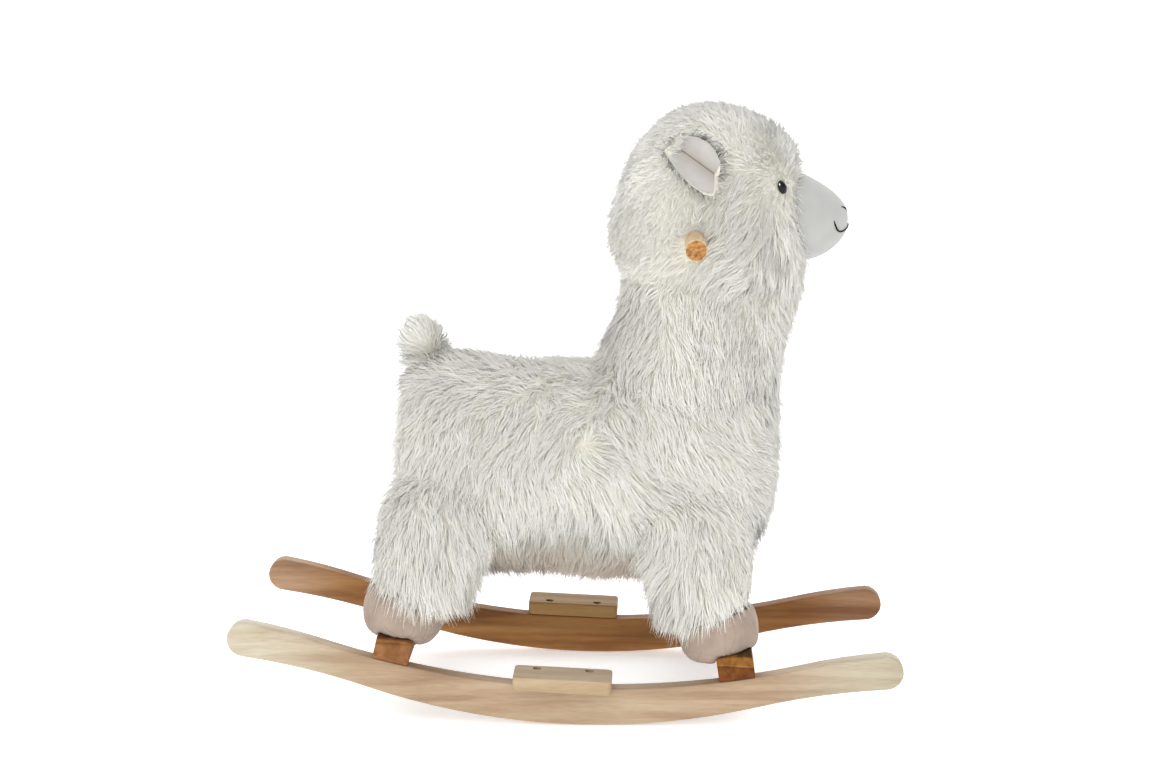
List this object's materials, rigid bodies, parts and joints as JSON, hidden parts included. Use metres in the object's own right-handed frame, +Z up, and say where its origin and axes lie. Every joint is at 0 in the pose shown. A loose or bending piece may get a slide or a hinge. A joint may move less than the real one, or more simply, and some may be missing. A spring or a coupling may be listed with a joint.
{
  "type": "rocking llama toy",
  "caption": "Child's rocking animal: a shaggy stuffed llama with a wooden handle, standing on curved wooden runners with footrests.",
  "frame": {"origin": "on the floor under the middle between the runners' four tips, with the toy at rest 2.5 degrees nose-down", "axes": "+X towards the nose along the runners, +Y to the llama's left, +Z up"},
  "size_m": [0.7094, 0.344, 0.6374],
  "materials": {
    "pine": "light clear-coated pine",
    "brown_wood": "brown stained wood",
    "inner_wood": "unfinished frame timber",
    "dowel_wood": "sanded orange-brown dowel",
    "steel": "zinc-plated screws",
    "fur": "long off-white shaggy plush",
    "nap": "short smooth light grey plush",
    "linen": "soft beige short-pile cloth",
    "pink_fabric": "pale pink-grey ear lining",
    "black_plastic": "glossy black eyes",
    "black_thread": "embroidery thread"
  },
  "bodies": {
    "toy": {"right_runner": "pine", "left_runner": "pine", "right_footrest": "pine", "left_footrest": "pine", "rear_crossbar": "brown_wood", "front_crossbar": "brown_wood", "right_footrest_rear_screw": "steel", "right_footrest_front_screw": "steel", "left_footrest_rear_screw": "steel", "left_footrest_front_screw": "steel", "rear_right_runner_screw": "steel", "rear_right_leg_bolt": "steel", "rear_right_beam_screw": "steel", "rear_right_leg_post": "inner_wood", "rear_right_plush_leg": "fur", "rear_right_hoof": "linen", "rear_left_runner_screw": "steel", "rear_left_leg_bolt": "steel", "rear_left_beam_screw": "steel", "rear_left_leg_post": "inner_wood", "rear_left_plush_leg": "fur", "rear_left_hoof": "linen", "rear_cross_beam": "inner_wood", "rear_seat_board_screw": "steel", "front_right_runner_screw": "steel", "front_right_leg_bolt": "steel", "front_right_beam_screw": "steel", "front_right_leg_post": "inner_wood", "front_right_plush_leg": "fur", "front_right_hoof": "linen", "front_left_runner_screw": "steel", "front_left_leg_bolt": "steel", "front_left_beam_screw": "steel", "front_left_leg_post": "inner_wood", "front_left_plush_leg": "fur", "front_left_hoof": "linen", "front_cross_beam": "inner_wood", "front_seat_board_screw": "steel", "seat_board": "inner_wood", "neck_board": "inner_wood", "neck_board_screw_1": "steel", "neck_board_screw_2": "steel", "handle_lock_screw": "steel", "handle": "dowel_wood", "plush_body": "fur", "plush_neck": "fur", "plush_head": "fur", "plush_muzzle": "nap", "right_eye": "black_plastic", "right_nostril_stitch": "black_thread", "left_eye": "black_plastic", "left_nostril_stitch": "black_thread", "mouth_stitch": "black_thread"},
    "right_ear": {"right_ear": "fur", "right_ear_lining": "pink_fabric"},
    "left_ear": {"left_ear": "fur", "left_ear_lining": "pink_fabric"},
    "tail": {"plush_tail": "fur"}
  },
  "joints": [
    {"name": "right_ear_flop", "type": "hinge", "parent": "toy", "child": "right_ear", "pos_m": [0.10892, -0.06679, 0.59914], "axis": [-0.6394, -0.1732, -0.7492], "range_deg": [0, 40], "stiffness_Nm_per_rad": 0.05},
    {"name": "left_ear_flop", "type": "hinge", "parent": "toy", "child": "left_ear", "pos_m": [0.10892, 0.06679, 0.59914], "axis": [0.6393, -0.1731, 0.7492], "range_deg": [0, 40], "stiffness_Nm_per_rad": 0.05},
    {"name": "tail_wag", "type": "hinge", "parent": "toy", "child": "tail", "pos_m": [-0.1506, 0, 0.36187], "axis": [0.9537, 0, 0.3007], "range_deg": [-25, 25], "stiffness_Nm_per_rad": 0.1}
  ]
}
